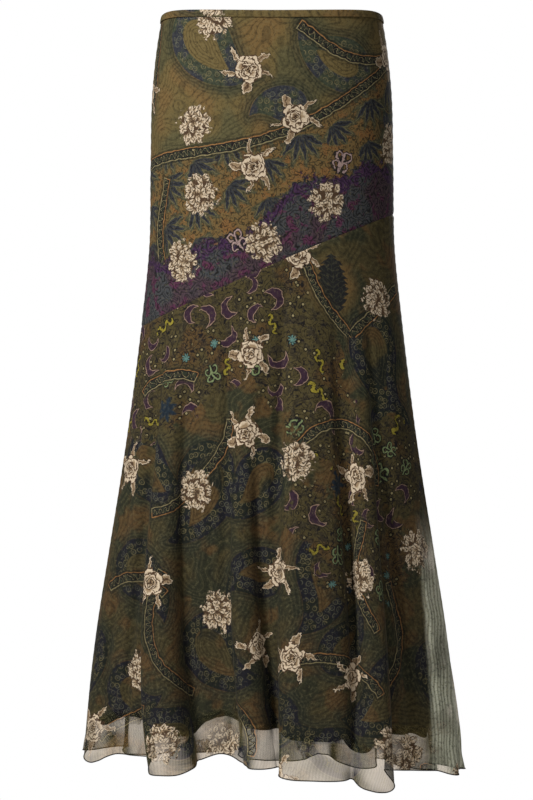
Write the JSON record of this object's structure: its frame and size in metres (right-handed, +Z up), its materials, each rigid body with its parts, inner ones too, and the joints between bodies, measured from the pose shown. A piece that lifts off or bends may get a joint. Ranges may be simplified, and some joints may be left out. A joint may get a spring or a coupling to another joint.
{
  "type": "maxi skirt",
  "caption": "Low-waisted maxi skirt in sheer printed cloth over a shorter lining, with a fitted yoke, a slanting hip seam and a flared, softly folded hem.",
  "frame": {"origin": "centre of the waist edge, level with the top of the casing", "axes": "+Z up along the skirt, the hem towards -Z, the front of the skirt faces -Y, and the wearer's left side is at +X"},
  "size_m": [0.4925, 0.3442, 0.9917],
  "materials": {
    "print_cloth": "sheer chiffon with an olive, brown and navy paisley print and cream roses, matt",
    "lining_cloth": "opaque dark olive lining, matt"
  },
  "bodies": {
    "root": {"waist_casing": "print_cloth", "yoke_front": "print_cloth", "yoke_back": "print_cloth", "panel_front": "print_cloth", "panel_back": "print_cloth", "lining_front": "lining_cloth", "lining_back": "lining_cloth"}
  },
  "joints": []
}
